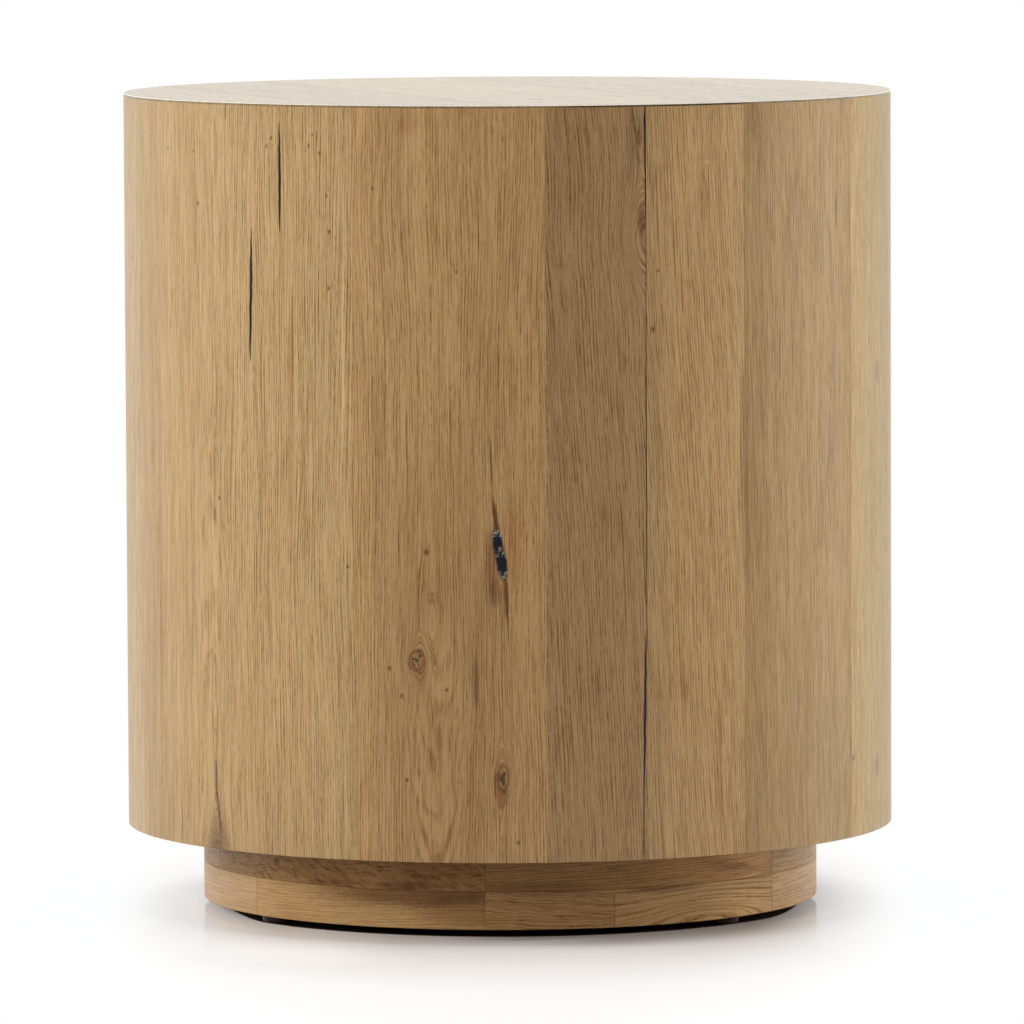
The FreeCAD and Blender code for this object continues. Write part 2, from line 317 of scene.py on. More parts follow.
def close_tree(tree, geometry, finish):
    """End a tree: its steep edges are sharp and the rest smooth, then realize and set the material."""
    angle = Amount(add_node(tree, "GeometryNodeInputMeshEdgeAngle").outputs[0])
    flat = angle.maths("LESS_THAN", math.radians(SHARP_EDGE))
    smooth = add_node(tree, "GeometryNodeSetShadeSmooth", geometry, None, flat, domain="EDGE")
    real = add_node(tree, "GeometryNodeRealizeInstances", smooth.outputs[0])
    coated = add_node(tree, "GeometryNodeSetMaterial", real.outputs[0], None, finish)
    add_node(tree, "NodeGroupOutput", coated.outputs[0])
    return tree


def make_piece(name, tree, **sizes):
    """A plain mesh piece from a tree and its named inputs."""
    piece = bpy.data.objects.new(name, bpy.data.meshes.new(name + "_rule"))
    bpy.context.scene.collection.objects.link(piece)
    rule = piece.modifiers.new("rule", "NODES")
    rule.node_group = tree
    for socket in tree.interface.items_tree:
        if socket.in_out == "INPUT":
            rule[socket.identifier] = sizes[socket.name.lower().replace(" ", "_")]
    evaluated = piece.evaluated_get(bpy.context.evaluated_depsgraph_get())
    mesh = bpy.data.meshes.new_from_object(evaluated)
    piece.modifiers.remove(rule)
    piece.data = mesh
    mesh.name = name
    return piece


def side_place(tree, middle):
    """Millimetres round the drum from a leaf's middle bearing, and down from the drum's top."""
    x, y, z = object_place(tree)
    turn = math.radians(middle)
    sideways = x * math.cos(turn) + y * math.sin(turn)
    outwards = x * math.sin(turn) - y * math.cos(turn)
    return sideways.maths("ARCTAN2", outwards) * (DRUM_RADIUS / MM), z * -1 + DRUM_TOP / MM


def ellipse(across, along, spot, blur=0.0):
    """Distance from a spot's middle: 1 on its edge. A spot is x, z, half width, half height and lean."""
    x, z, wide, tall, lean = (*spot, 0)[:5]
    rise = along - z
    side = across - x - rise * lean
    return ((side / wide) * (side / wide) + (rise / tall) * (rise / tall)) ** 0.5 + blur


def tint(tree, share, colour, by):
    """A colour multiplied by another as far as the share goes."""
    return blend(tree, share, colour, blend(tree, 1.0, colour, by, "MULTIPLY"))


def crack_cover(across, along, crack, wobble):
    """1 inside a crack that runs from one point to another and tapers at both ends."""
    x, z, end_x, end_z, half_width = crack
    share = ((along - z) / (end_z - z)).maths("MAXIMUM", 0).maths("MINIMUM", 1)
    half = ((share * math.pi).maths("SINE").maths("MAXIMUM", 0) ** 0.5) * (half_width + 0.15) - 0.15
    aside = abs(across - x - share * (end_x - x) + wobble * half_width * 0.6)
    return (half - aside).rise(-0.14, 0.14)


def bow(along, fibre, knot):
    """Carry the grain round a knot: its lines part by the knot's half width, and close inside it."""
    x, z, wide, tall, lean = (*knot, 0)[:5]
    rise = (along - z) / tall
    bulge = (rise * rise * -1).maths("EXPONENT") * 1.25 - (rise * rise * -0.25).maths("EXPONENT") * 0.25
    side = fibre - x - (along - z) * lean
    outside = side * side - bulge * (wide * wide)
    spread = outside / (abs(outside) + wide * wide * 0.09) ** 0.5
    parted = side.maths("SIGN") * spread.maths("MAXIMUM", 0)
    return (along - z) * lean + x + spread.maths("MINIMUM", 0) + parted


def ring_line(phase):
    """1 in the early wood of each ring, which starts sharply and fades, and 0 in its late wood."""
    band = phase.maths("FRACT")
    return band.rise(0.0, 0.16) * band.rise(0.66, 0.20)


# What a board has unless its table says otherwise: the slope and wander of its grain, the millimetres
# between its rings, the reach of its streaks, and how strongly its streaks, pores, rings and mottle show.
PLAIN_BOARD = dict(slope=0.0, sway=14, curl=0, ring=2.15, reach=1.0, contrast=1.0, calm=None, pores=0.44,
                   figure=0.30, mottle=0, arches=(), knots=(), swirls=(), holes=(), cracks=(), pins=(),
                   tints=(), putty=(), edge=None)

# The streaks of sawn oak, the longer the wider: width and length in millimetres, strength and detail
STREAKS = ((0.45, 15, 0.68, 0.0), (0.85, 40, 0.72, 0.0), (1.9, 90, 0.22, 0.0), (5.5, 190, 0.24, 1.0))

# The grain parts round a knot over this many times its height, and a crack this wide or wider holds resin
KNOT_REACH = 1.7
RESIN_HALF_WIDTH = 0.45

# The roughness of the lacquer over the wood
LACQUER_ROUGHNESS = 0.12

# Early and late wood as shares of a board's tone, and the colours of what oak holds besides wood
PALE_SHARE = (1.25, 1.34, 1.48)
DEEP_SHARE = (0.45, 0.33, 0.12)
KNOT_HALO = (0.88, 0.84, 0.80)
KNOT_WOOD = (0.95, 0.90, 0.85)
KNOT_SKIN = (0.64, 0.55, 0.47)
KNOT_HEART = (0.050, 0.024, 0.012)
PIN_HALO = (0.75, 0.68, 0.60)
PIN_HEART = (0.07, 0.035, 0.018)
GREY_PUTTY = (0.46, 0.42, 0.33)
BARE_CRACK = (0.060, 0.024, 0.012)
CRACK_RESIN = (0.010, 0.013, 0.018)
HOLE_RIM = (0.045, 0.022, 0.012)
HOLE_RESIN = (0.006, 0.009, 0.020)
RESIN_DUST = (0.50, 0.48, 0.42)
JOINT_BLACK = (0.020, 0.013, 0.010)
RIM_PAINTED_HIGHLIGHT = (1.00, 0.95, 0.86)
SEAM_SHADE = (0.45, 0.36, 0.28)


def set_out(at, spots):
    """Listed spots with their place on the board turned into millimetres across and along its grain."""
    return [(*at(spot[0], spot[1]), *spot[2:]) for spot in spots]


def board_grain(tree, across, along, at, board, rough_edge):
    """How dark a board's own grain is, and the finest of its streaks."""
    seed, slope = board["seed"], board["slope"]

    # The fibres wander a little, curl in a crotch, and bow round each knot
    sway = (noise(tree, across / 70, along / 240, seed) - 0.5) * board["sway"]
    sway = sway + (noise(tree, across / 16, along / 55, seed + 2) - 0.5) * 1.1
    if board["curl"]:
        curl = noise(tree, across / 11, along / 15, seed + 4, detail=3.0) - 0.5
        sway = sway + curl * board["curl"]
    fibre = across - along * slope + sway
    parted = [(*knot[:3], knot[3] * KNOT_REACH) for knot in set_out(at, board["knots"])]
    for x, z, wide, tall, *lean in parted + set_out(at, board["swirls"]):
        fibre = bow(along, fibre, (x - z * slope, z, wide, tall, *lean))

    # Growth rings run straight up a board. Where the saw has sliced over them
    # they close in nested arches: each arch is listed as its middle, half
    # width, half height, the step between arches and the sharpness of its tip.
    wander = noise(tree, fibre / 11, along / 300, seed + 3, detail=1.0) * 2.4
    phase = fibre / board["ring"] + wander
    early = ring_line(phase)
    strength = noise(tree, phase * 0.9, along / 95, seed + 5, detail=1.0).rise(0.30, 0.62) * 0.75 + 0.25
    for x, z, wide, tall, step, tip in set_out(at, board["arches"]):
        window = ellipse(across, along, (x, z, wide, tall), rough_edge * 0.3).rise(1.05, 0.55)
        aside = fibre - x + z * slope
        bend = noise(tree, across / 13, along / 40, seed + 6, detail=1.0) * 1.6
        arch = ring_line((along + aside * aside / tip) / step + bend)
        early = early * (window * -1 + 1) + arch * window * 0.8
    rings = early * strength

    # Streaks, and open pores in short dashes, the more of them in the early wood
    lines, streaks = 0.0, []
    for order, (width, length, weight, detail) in enumerate(STREAKS):
        stretch = along / (length * board["reach"])
        streak = noise(tree, fibre / width, stretch, seed + (7 + 2 * order), detail)
        lines = (streak - 0.5) * weight + lines
        streaks.append(streak)
    dashes = noise(tree, fibre / 0.36, along / 7, seed + 25, detail=0.0).rise(0.50, 0.64)
    pores = dashes * (rings * 0.62 + 0.38) * board["pores"]

    # A board is calmer on one side where its table says so, and a crotch is mottled aslant
    contrast = board["contrast"]
    if board["calm"]:
        low, high, share = board["calm"]
        contrast = across.rise(at(low, 0)[0], at(high, 0)[0]) * ((1 - share) * contrast) + share * contrast
    dark = (lines + pores + (rings - 0.28) * board["figure"]) * contrast
    if board["mottle"]:
        slant = across * 0.86 + along * 0.5
        stroke = along * 0.86 - across * 0.5
        dark = dark + (noise(tree, slant / 2.6, stroke / 9, seed + 23, detail=3.0) - 0.5) * board["mottle"]
    cloud = noise(tree, across / 18, along / 110, seed + 15, detail=1.0)
    return dark + (cloud - 0.5) * 0.24 + 0.22, streaks[0]


def add_marks(tree, across, along, at, board, rough_edge, colour):
    """The colour with a board's tints, tight knots, pin knots and specks of grey putty over it."""
    for *spot, by in set_out(at, board["tints"]):
        far = ellipse(across, along, spot, rough_edge * 0.5)
        colour = tint(tree, far.rise(1.3, 0.4), colour, by)

    # Tight knots: a faint halo, a dark skin round the knot, and a small dark star in its heart
    for knot in set_out(at, board["knots"]):
        far = ellipse(across, along, knot, rough_edge * 0.6)
        colour = tint(tree, (far * 0.5).rise(1.2, 0.3), colour, KNOT_HALO)
        colour = tint(tree, far.rise(1.1, 0.8), colour, KNOT_WOOD)
        colour = tint(tree, abs(far - 0.9).rise(0.26, 0.05), colour, KNOT_SKIN)
        colour = blend(tree, (far + rough_edge * 2.4).rise(0.42, 0.26) * 0.8, colour, KNOT_HEART)
    for x, z, radius in set_out(at, board["pins"]):
        far = ellipse(across, along, (x, z, radius, radius * 1.3), rough_edge * 0.4)
        colour = tint(tree, far.rise(2.6, 1.0), colour, PIN_HALO)
        colour = blend(tree, far.rise(1.1, 0.5) * 0.8, colour, PIN_HEART)
    for spot in set_out(at, board["putty"]):
        far = ellipse(across, along, spot, rough_edge * 0.8)
        colour = blend(tree, far.rise(1.2, 0.7) * 0.55, colour, GREY_PUTTY)
    return colour


def add_cracks(tree, across, along, at, board, rough_edge, colour):
    """The colour with a board's open knots, which hold black resin and pale dust, and its cracks."""
    seed = board["seed"]
    for spot in set_out(at, board["holes"]):
        far = ellipse(across, along, spot, rough_edge * 0.7)
        colour = blend(tree, far.rise(1.55, 1.1) * 0.8, colour, HOLE_RIM)
        dust = noise(tree, across / 0.9, along / 1.6, seed + 19, detail=1.0)
        ends = abs((along - spot[1]) / spot[3]).rise(0.30, 0.65)
        dust = (far * 0.30 + dust).rise(0.80, 0.90) * far.rise(1.25, 1.05) * ends
        colour = blend(tree, far.rise(1.1, 0.95), colour, HOLE_RESIN)
        colour = blend(tree, dust * 0.85, colour, RESIN_DUST)

    # Hair cracks are bare, and wider ones are filled with resin
    wobble = (noise(tree, across / 40, along / 9, seed + 17) - 0.5) * 2
    bare, filled = [], []
    for x, z, end_x, end_z, half_width in board["cracks"]:
        cover = crack_cover(across, along, (*at(x, z), *at(end_x, end_z), half_width), wobble)
        (bare if half_width < RESIN_HALF_WIDTH else filled).append(cover)
    for covers, strength, fill in ((bare, 0.85, BARE_CRACK), (filled, 1.0, CRACK_RESIN)):
        if covers:
            whole = covers[0]
            for cover in covers[1:]:
                whole = whole.maths("MAXIMUM", cover)
            colour = blend(tree, whole * strength, colour, fill)
    return colour


def add_rim(tree, board, colour):
    """The colour of a round top with its black joint, a painted highlight on its rim and the shade in its
    inner joints.
    """
    x, y, z = object_place(tree)
    joint, face = board["edge"]
    # The joint is blackest to the right of the middle, and shows a little at the far left
    shade = noise(tree, x / 6, y / 6, board["seed"] + 21) * 0.3
    black = x.rise(25, 55) * x.rise(190, 160) * 0.55 + x.rise(-245, -265) * 0.2 + 0.16 + shade
    line = (z - joint).rise(0.0, 0.35) * (z - joint).rise(1.35, 1.05)
    colour = blend(tree, line * black, colour, JOINT_BLACK)
    # A painted highlight along the rim's arris, where it catches the light
    arris = (z - face).rise(-0.62, -0.35) * (z - face).rise(-0.02, -0.10)
    rim = ((x * x + y * y) ** 0.5).rise(DRUM_RADIUS / MM - 2, DRUM_RADIUS / MM - 1)
    colour = blend(tree, arris * rim, colour, RIM_PAINTED_HIGHLIGHT)
    return tint(tree, arris * (rim * -1 + 1) * 0.6, colour, SEAM_SHADE)


def oak(name, place, at, board, coat=0.0, gloss=0.5):
    """Oak from the distances across and along its grain, with what the board's table lists."""
    board = {**PLAIN_BOARD, **board}
    material, tree, shader = new_finish(name, Coat_Weight=coat, Coat_Roughness=LACQUER_ROUGHNESS,
                                        Specular_IOR_Level=gloss)
    across, along = place(tree)
    rough_edge = noise(tree, across / 2.2, along / 3.5, board["seed"] + 1) - 0.5
    dark, finest = board_grain(tree, across, along, at, board, rough_edge)
    pale_wood = tuple(part * share for part, share in zip(board["tone"], PALE_SHARE))
    deep_wood = tuple(part * share for part, share in zip(board["tone"], DEEP_SHARE))
    colour = blend(tree, dark, pale_wood, deep_wood)
    colour = add_marks(tree, across, along, at, board, rough_edge, colour)
    colour = add_cracks(tree, across, along, at, board, rough_edge, colour)
    if board["edge"]:
        colour = add_rim(tree, board, colour)
    feed(shader.inputs["Base Color"], colour)
    feed(shader.inputs["Roughness"], finest * 0.2 + 0.30)
    add_relief(tree, shader, finest * -1, SAWN_RELIEF)
    return material


def side_at(middle):
    """Turn a listed bearing and depth into millimetres across and along a side leaf."""
    return lambda bearing, depth: (math.radians(bearing - middle) * DRUM_RADIUS / MM, depth)


# Each board: the colour of its wood, then what shows in it. Arches, knots, tints and holes start with a
# bearing and a depth, then half width, half height and lean. A tint ends with the colour that it multiplies
# by. Pins have a radius. Cracks run from point to point, and end with half their width.
SIDE_BOARDS = {
    1: dict(tone=(0.547, 0.341, 0.145), contrast=1.2, reach=1.5, calm=(-56, -40, 0.8),
            arches=[(-49.7, 350, 20, 130, 64, -2.8)],
            swirls=[(-48.5, 566, 9, 36)],
            cracks=[(-35.1, 12, -35.1, 95, 1.10), (-40.45, 90, -40.85, 190, 1.30),
                    (-48.65, 480, -48.35, 514, 0.44), (-48.4, 502, -47.7, 538, 0.40),
                    (-51.9, 496, -51.9, 511, 0.4), (-57.3, 521, -57.3, 550, 0.4),
                    (-45.6, -3, -45.6, 14, 0.45)],
            pins=[(-47.4, 290, 0.9), (-52, 75, 0.9), (-26.7, 92, 0.8), (-26.8, 133, 0.8),
                  (-24.0, 335, 0.8), (-37.5, 31, 0.7), (-36.6, 25, 0.8), (-30.0, 30, 0.7),
                  (-28.2, 35, 0.8), (-29.4, 22, 0.6), (-60.2, 36, 0.6), (-53.1, 37, 0.7),
                  (-27.1, 66, 0.7)],
            # Painted shade: the grey tint at depth 560 darkens the leaf towards the drum's bottom
            tints=[(-66, 330, 22, 420, (0.95, 0.93, 0.98)), (-47, 560, 200, 70, (0.94, 0.93, 0.93)),
                   (-48.0, 582, 16, 60, 0.02, (0.40, 0.33, 0.31)),
                   (-48.9, 572, 10, 52, (0.80, 0.76, 0.74)),
                   (-48.6, 497, 2.0, 22, 0.03, (0.52, 0.42, 0.38)),
                   (-48.0, 522, 1.6, 20, 0.16, (0.60, 0.50, 0.46)),
                   (-33.0, 172, 1.5, 42, (0.66, 0.52, 0.42)), (-33.5, 250, 3, 90, (0.90, 0.86, 0.82)),
                   (-24.5, 200, 1.5, 85, (1.16, 1.16, 1.16)), (-63.5, 330, 4, 200, (0.94, 0.90, 0.88))]),
    2: dict(tone=(0.556, 0.322, 0.129), pores=0.5, reach=1.15,
            arches=[(-10.6, 478, 27, 125, 33, 5.0)],
            knots=[(-13.5, 402, 6.2, 7.8), (-1.0, 487, 4.4, 10.5)],
            swirls=[(-11.6, 376, 5, 24)],
            holes=[(-1.60, 317, 3.0, 9.5, 0.10), (-1.02, 331, 3.0, 9.5, 0.10)],
            cracks=[(-2.66, 235, -2.40, 280, 0.42), (-0.50, 332, 0.0, 396, 0.40),
                    (-2.20, 479, -2.08, 506, 0.20)],
            pins=[(-12.0, 323, 1.4), (-17.6, 408, 1.0), (-15.8, 428, 1.0), (-9.1, 423, 0.8),
                  (-15.0, 489, 0.9), (-19.8, 60, 0.7), (-7.4, 120, 0.7), (1.2, 534, 0.8)],
            tints=[(-1.95, 297, 1.9, 17, 0.14, (0.36, 0.22, 0.15)),
                   (-0.45, 352, 2.1, 24, 0.05, (0.46, 0.32, 0.23)),
                   (-1.9, 351, 4, 12, (0.74, 0.68, 0.64)), (-2.5, 333, 5.0, 34, (0.66, 0.58, 0.50)),
                   (0.9, 318, 7, 36, (0.93, 0.82, 0.72)), (-11.2, 357, 5, 8, (0.84, 0.80, 0.77)),
                   (-4.8, 418, 1.7, 24, (0.55, 0.47, 0.41)), (-1.1, 501, 4.2, 9, (0.70, 0.58, 0.50)),
                   (-2.1, 492, 0.8, 13, (0.55, 0.46, 0.40)), (-1.4, 486, 2.4, 5, (0.62, 0.54, 0.47)),
                   (-22.3, 280, 4, 600, (0.95, 0.94, 0.92)), (-0.9, 478, 2.0, 2.6, (1.15, 1.18, 1.22)),
                   (-0.5, 482.8, 1.6, 2.0, (1.12, 1.12, 1.15)), (-14.6, 12, 9, 11, (0.85, 0.80, 0.75)),
                   (-10.2, 459, 3, 13, (0.72, 0.62, 0.54)),
                   (-12.2, 534, 1.8, 15, 0.26, (0.78, 0.69, 0.62)),
                   (-9.0, 532, 1.8, 18, -0.25, (0.80, 0.72, 0.65)),
                   (-10.6, 547, 6, 6, (0.72, 0.62, 0.54)), (-12.8, 415, 5, 10, (0.80, 0.74, 0.70)),
                   # Painted shade: the grey tint at depth 430 darkens the lower half of the leaf
                   (-9.0, 430, 60, 210, (0.87, 0.85, 0.84)), (-17.0, 300, 22, 500, (0.94, 0.94, 0.94))]),
    3: dict(tone=(0.437, 0.249, 0.104), slope=0.05, contrast=1.35, pores=0.40,
            swirls=[(20.2, 100, 13, 30, 0.04)],
            cracks=[(20.3, -90, 20.35, 92, 1.0), (20.35, 60, 20.35, 410, 0.45),
                    (20.2, 380, 19.8, 505, 0.95), (19.8, 470, 19.75, 560, 0.46)],
            putty=[(5.6, depth, 0.9, 1.4)
                   for depth in (186, 200, 231, 262, 271, 304, 331, 358, 402, 437, 455)],
            tints=[(19.7, 84, 3.5, 13, (0.55, 0.49, 0.45)), (18.3, 28, 2.4, 34, (0.74, 0.72, 0.72)),
                   (19.1, 24, 1.6, 30, (0.78, 0.76, 0.76)), (9.0, 40, 16, 60, (0.93, 0.90, 0.88))]),
    4: dict(tone=(0.564, 0.332, 0.137), slope=0.055, contrast=1.2, pores=0.36,
            pins=[(21.4, 163, 1.2), (22.2, 121, 0.6)],
            # Painted shade: the grey tint at depth 540 darkens the leaf towards the drum's bottom
            tints=[(21.0, 280, 16, 500, (0.90, 0.90, 0.91)), (28.6, 540, 60, 130, (0.94, 0.94, 0.94)),
                   (30.3, 43, 2.6, 2.4, (1.22, 1.24, 1.28)), (26.0, 420, 5, 16, (0.88, 0.84, 0.82)),
                   (36.5, 265, 3.5, 75, (0.80, 0.76, 0.72))]),
    5: dict(tone=(0.472, 0.289, 0.116), slope=0.02, reach=0.8, pores=0.32,
            cracks=[(57.1, 68, 57.1, 96, 0.4)],
            tints=[(38.6, 300, 16, 900, (0.94, 0.91, 0.88)), (55.5, 250, 24, 700, (1.03, 1.06, 1.12)),
                   # Painted shade: the grey tint at depth 540 darkens the leaf towards the drum's bottom
                   (38.4, 12, 7, 16, (0.86, 0.78, 0.70)), (49, 540, 90, 130, (0.94, 0.94, 0.94)),
                   (37.3, 270, 1.6, 90, (0.84, 0.80, 0.76)), (57.1, 82, 2, 16, (0.7, 0.66, 0.66))]),
    6: dict(tone=(0.545, 0.354, 0.148), reach=0.7, pores=0.32, pins=[(62.1, 490, 1.0)],
            tints=[(67.8, 300, 12, 900, (0.95, 0.96, 0.97))]),
    7: dict(tone=(0.492, 0.321, 0.137), ring=3.0, pores=0.32, arches=[(88, 300, 18, 160, 30, 3.0)],
            tints=[(72.4, 207, 6, 9, (0.75, 0.72, 0.70)), (72.4, 500, 6, 10, (0.70, 0.67, 0.65)),
                   (78.0, 330, 22, 900, (0.88, 0.88, 0.88))],
            knots=[(86, 420, 5, 9)], pins=[(80, 120, 1.0)]),
    8: dict(tone=(0.560, 0.332, 0.136), ring=2.6, arches=[(110, 300, 24, 190, 34, -4.0)],
            knots=[(104, 250, 4, 8)],
            pins=[(100, 80, 0.9), (112, 430, 1.0), (117, 505, 0.8)]),
    9: dict(tone=(0.462, 0.268, 0.109), slope=0.04, contrast=1.2, pins=[(131, 210, 1.1)],
            cracks=[(125.5, 300, 125.8, 420, 0.9)]),
    10: dict(tone=(0.566, 0.332, 0.133), knots=[(147, 172, 5, 9)], arches=[(151, 420, 22, 150, 32, 4.4)],
             holes=[(155, 401, 2.6, 11, 0.1)], swirls=[(155, 401, 4, 16)],
             cracks=[(154.6, 350, 154.8, 394, 0.6), (155.3, 408, 155.5, 455, 0.6)],
             pins=[(143, 500, 1.0)]),
    11: dict(tone=(0.523, 0.302, 0.118), arches=[(172, 190, 24, 170, 36, -4.0)],
             pins=[(168, 95, 0.9), (180, 350, 1.0), (184, 370, 0.8)], knots=[(177, 455, 3.6, 6)]),
    12: dict(tone=(0.584, 0.356, 0.148), slope=-0.02, pins=[(203, 60, 1.0)],
             cracks=[(199, 60, 199.3, 170, 1.0)]),
    13: dict(tone=(0.475, 0.280, 0.119), slope=0.04, contrast=1.2, pins=[(226, 333, 1.2)]),
    14: dict(tone=(0.548, 0.324, 0.131), ring=2.6, arches=[(248, 400, 26, 170, 34, 4.6)],
             knots=[(241, 140, 4.4, 8)],
             pins=[(236, 402, 0.9), (254, 250, 0.9), (257, 272, 0.7)],
             cracks=[(252, 420, 252.4, 552, 0.9)]),
    15: dict(tone=(0.566, 0.369, 0.172), ring=2.8, arches=[(273, 260, 20, 200, 34, -3.0)],
             pins=[(284, 120, 1.0), (279, 430, 0.9)]),
}

board_tree = bent_board_tree()
for number, board in SIDE_BOARDS.items():
    low, high = SIDE_SEAMS[number - 1], SIDE_SEAMS[number]
    board["seed"] = number * 7.3
    middle = (low + high) / 2
    finish = oak(f"side_oak_{number}", lambda tree: side_place(tree, middle), side_at(middle), board)
    width = math.radians(high - low) * DRUM_RADIUS
    leaf = make_piece(f"upright_leaf_{number}", board_tree, from_bearing=math.radians(low),
                      to_bearing=math.radians(high), inner_radius=DRUM_RADIUS - LEAF_THICKNESS,
                      outer_radius=DRUM_RADIUS, base=SIDE_BASE, top=SIDE_TOP, arris=LEAF_ARRIS,
                      columns=round(width / LEAF_STEP) + 1, rows=LEAF_ROWS, finish=finish)
    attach(leaf, "root")
    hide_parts(f"side_leaf_{number}")

# Top leaves: five oak leaves laid side by side across the
# drum at an angle, trimmed round over the side leaves.
TOP_GRAIN = 21
TOP_SEAM_SHARES = [-1, -0.713, -0.348, 0.190, 0.647, 1]
TOP_COLUMNS = 90
TOP_ARRIS = 0.6 * MM
TOP_ROWS = 40
TOP_LACQUER = 0.5
WELD_DISTANCE = 0.001 * MM


def weld(tree, geometry):
    """Join the corners that a rule lays on one another."""
    welded = add_node(tree, "GeometryNodeMergeByDistance", geometry)
    welded.inputs["Distance"].default_value = WELD_DISTANCE
    return welded.outputs[0]


def top_leaf_tree():
    """The rule for a leaf cut from a round top between two parallel joints."""
    lengths = ("From offset", "To offset", "Radius", "Base", "Top", "Arris", "Turn")
    tree, size = start_tree("Top leaf", lengths, ("Columns", "Rows"))
    block = add_node(tree, "GeometryNodeMeshCube", (1, 1, 1), size["Rows"], size["Columns"], LEAF_LAYERS)
    share_over, share_along, share_up = corner_shares(tree)
    inset = size["Arris"] * share_up.maths("GREATER_THAN", FACE_SHARE)
    radius = size["Radius"] - inset
    low = ((size["From offset"] + inset) / radius).maths("MAXIMUM", -1).maths("ARCSINE")
    high = ((size["To offset"] - inset) / radius).maths("MINIMUM", 1).maths("ARCSINE")
    swing = low + (high - low) * share_over
    offset = radius * swing.maths("SINE")
    along = radius * swing.maths("COSINE") * (share_along * 2 - 1)
    depth = size["Top"] - size["Arris"] - size["Base"]
    level = size["Base"] + depth * (share_up * 2).maths("MINIMUM", 1) + inset
    cosine, sine = size["Turn"].maths("COSINE"), size["Turn"].maths("SINE")
    place = add_node(tree, "ShaderNodeCombineXYZ", offset * cosine - along * sine,
                     offset * sine + along * cosine, level)
    cut = add_node(tree, "GeometryNodeSetPosition", block.outputs["Mesh"], None, place.outputs[0])
    return close_tree(tree, weld(tree, cut.outputs[0]), size["Finish"])


def top_place(tree):
    """Millimetres across and along the top leaves' grain from the centre."""
    x, y = object_place(tree)[:2]
    turn = math.radians(TOP_GRAIN)
    return x * math.cos(turn) + y * math.sin(turn), y * math.cos(turn) - x * math.sin(turn)


TOP_BOARDS = {
    1: dict(tone=(0.452, 0.303, 0.132), ring=3.0, arches=[(-232, 0, 16, 110, 34, 4.0)]),
    2: dict(tone=(0.418, 0.282, 0.121), ring=2.6, contrast=1.1, pins=[(-140, -90, 1.0)]),
    3: dict(tone=(0.455, 0.306, 0.131), ring=3.0, knots=[(-40, -160, 5, 9)],
            arches=[(-12, 40, 24, 150, 36, 4.6)]),
    4: dict(tone=(0.420, 0.282, 0.125), ring=2.8, slope=0.03, contrast=1.1, pins=[(90, 40, 1.0)]),
    5: dict(tone=(0.455, 0.305, 0.139), ring=3.0, arches=[(222, -30, 18, 100, 34, -4.0)]),
}

top_tree = top_leaf_tree()
for number, board in TOP_BOARDS.items():
    board["seed"] = 60 + number * 5.1
    board["edge"] = (SIDE_TOP / MM, DRUM_TOP / MM)
    low, high = TOP_SEAM_SHARES[number - 1], TOP_SEAM_SHARES[number]
    finish = oak(f"top_oak_{number}", top_place, lambda across, along: (across, along), board,
                 coat=TOP_LACQUER)
    leaf = make_piece(f"round_top_leaf_{number}", top_tree, from_offset=DRUM_RADIUS * low,
                      to_offset=DRUM_RADIUS * high, radius=DRUM_RADIUS, base=SIDE_TOP, top=DRUM_TOP,
                      arris=TOP_ARRIS, turn=math.radians(TOP_GRAIN), columns=TOP_COLUMNS, rows=TOP_ROWS,
                      finish=finish)
    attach(leaf, "root")
    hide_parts(f"top_leaf_{number}")

# Plinth: two courses of oak segments sawn to the curve, glued with their upright joints staggered. The
# grain runs level. Coach screws come down through the bottom panel into the upper course.
PLINTH_RECESS = 56.5 * MM
PLINTH_WIDTH = 50 * MM
PLINTH_RADIUS = DRUM_RADIUS - PLINTH_RECESS
PLINTH_BORE = PLINTH_RADIUS - PLINTH_WIDTH
PLINTH_ARRIS = 0.4 * MM
PLINTH_STEP = 4 * MM
PLINTH_ROWS = 8
PLINTH_GLOSS = 0.28
PLINTH_SEAMS = {
    "upper": [-70, -4.6, 57.2, 115, 175, 232, 290],
    "lower": [-54.4, -4.6, 19.3, 57.2, 108, 158, 210, 258, 305.6],
}


def plinth_place(tree, middle):
    """Millimetres up the plinth, and round it from a segment's middle bearing."""
    round_it, down = side_place(tree, middle)
    return down * -1 + DRUM_TOP / MM, round_it * (PLINTH_RADIUS / DRUM_RADIUS)


def plinth_at(middle):
    """Turn a listed bearing and level into millimetres across and along a segment."""
    return lambda bearing, level: (level, math.radians(bearing - middle) * PLINTH_RADIUS / MM)
